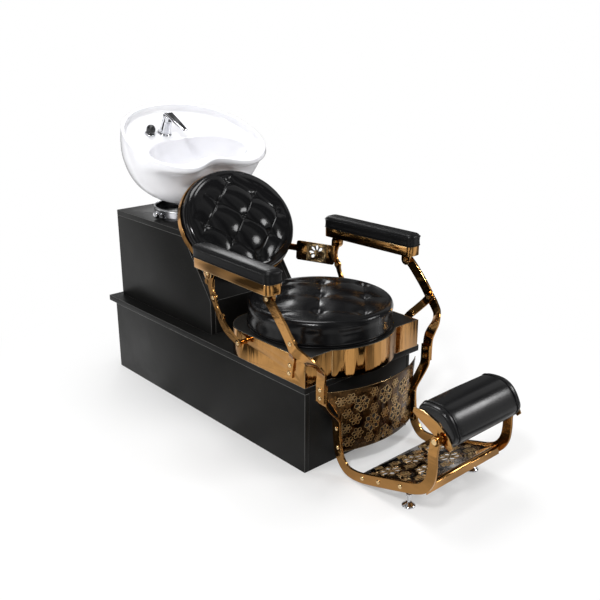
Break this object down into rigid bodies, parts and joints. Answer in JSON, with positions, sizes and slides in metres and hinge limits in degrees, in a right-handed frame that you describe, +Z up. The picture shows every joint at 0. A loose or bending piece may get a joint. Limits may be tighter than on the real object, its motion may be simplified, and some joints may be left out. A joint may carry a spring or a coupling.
{
  "type": "salon backwash unit",
  "caption": "Salon backwash unit: round tufted chair on a black plinth, white tilting ceramic bowl with mixer and handset, gold side bars, pierced tray and turning footrest roll.",
  "frame": {"origin": "on the floor, on the chair mid-plane, at the middle of the plinth length", "axes": "+X to the right seen from the front, +Y to the rear under the bowl, +Z up"},
  "size_m": [0.6622, 1.6141, 0.9996],
  "materials": {
    "black_laminate": "satin black laminate",
    "plywood": "plain plywood",
    "black_leather": "glossy upholstery",
    "white_ceramic": "white glaze",
    "grey_casting": "grey paint",
    "black_plastic": "gloss",
    "chrome": "polished",
    "gold": "polished gold plate"
  },
  "bodies": {
    "frame_body": {"arm_bar_left": "gold", "arm_bar_right": "gold", "arm_bolts": "gold", "arm_channel_left": "gold", "arm_channel_right": "gold", "arm_pad_left": "black_leather", "arm_pad_right": "black_leather", "arm_straps": "gold", "back_blocks": "plywood", "back_buttons": "black_leather", "back_cushion": "black_leather", "back_link_left": "gold", "back_link_right": "gold", "back_shell": "gold", "bowl_collar": "gold", "collar_trim_ring": "chrome", "deck_board": "black_laminate", "foot_tray": "gold", "leg_bar_left": "gold", "leg_bar_right": "gold", "leg_bolts": "gold", "leg_panel": "gold", "pedestal_kick_panel": "black_laminate", "pedestal_left_panel": "black_laminate", "pedestal_raked_board": "black_laminate", "pedestal_right_panel": "black_laminate", "pedestal_top_board": "black_laminate", "plinth_bottom_board": "black_laminate", "plinth_end_panels": "black_laminate", "plinth_left_panel": "black_laminate", "plinth_right_panel": "black_laminate", "rear_service_panel": "black_laminate", "rear_support_left": "gold", "rear_support_right": "gold", "seat_apron": "gold", "seat_battens": "plywood", "seat_board": "plywood", "seat_buttons": "black_leather", "seat_cushion": "black_leather", "service_screws": "chrome", "tilt_pins": "chrome", "tilt_saddle": "grey_casting"},
    "bowl_body": {"bowl": "white_ceramic", "bowl_carrier": "grey_casting", "waste_strainer": "chrome", "bowl_nuts": "black_plastic", "waste_tail": "black_plastic", "mixer_body": "chrome", "handset_socket": "chrome"},
    "mixer_head_body": {"mixer_head": "chrome"},
    "lever_body": {"mixer_lever": "chrome"},
    "handset_body": {"handset": "black_plastic"},
    "knob_body": {"tilt_lock_knob": "chrome"},
    "roll_body": {"footrest_pad": "black_leather", "footrest_board": "plywood", "roll_end_plates": "gold", "pivot_bolts": "gold"},
    "foot_left_body": {"levelling_foot_left": "chrome"},
    "foot_right_body": {"levelling_foot_right": "chrome"}
  },
  "joints": [
    {"name": "bowl_tilt", "type": "hinge", "parent": "frame_body", "child": "bowl_body", "pos_m": [0, 0.335, 0.637], "axis": [1, 0, 0], "range_deg": [-8, 2]},
    {"name": "mixer_swivel", "type": "hinge", "parent": "bowl_body", "child": "mixer_head_body", "pos_m": [-0.079, 0.40562, 0.90902], "axis": [0, -0.4399, 0.898], "range_deg": [-45, 45]},
    {"name": "lever_lift", "type": "hinge", "parent": "mixer_head_body", "child": "lever_body", "pos_m": [-0.079, 0.37658, 0.96829], "axis": [-1, 0, 0], "range_deg": [0, 20]},
    {"name": "handset_lift", "type": "slide", "parent": "bowl_body", "child": "handset_body", "axis": [0, -0.4399, 0.898], "range_m": [0, 0.045]},
    {"name": "knob_turn", "type": "hinge", "parent": "frame_body", "child": "knob_body", "pos_m": [-0.17, 0.335, 0.634], "axis": [1, 0, 0], "range_deg": [-90, 90]},
    {"name": "roll_flip", "type": "hinge", "parent": "frame_body", "child": "roll_body", "pos_m": [0, -0.967, 0.255], "axis": [1, 0, 0], "range_deg": [-60, 40]},
    {"name": "foot_left_screw", "type": "slide", "parent": "frame_body", "child": "foot_left_body", "axis": [0, 0, 1], "range_m": [0, 0.008]},
    {"name": "foot_right_screw", "type": "slide", "parent": "frame_body", "child": "foot_right_body", "axis": [0, 0, 1], "range_m": [0, 0.008]}
  ]
}
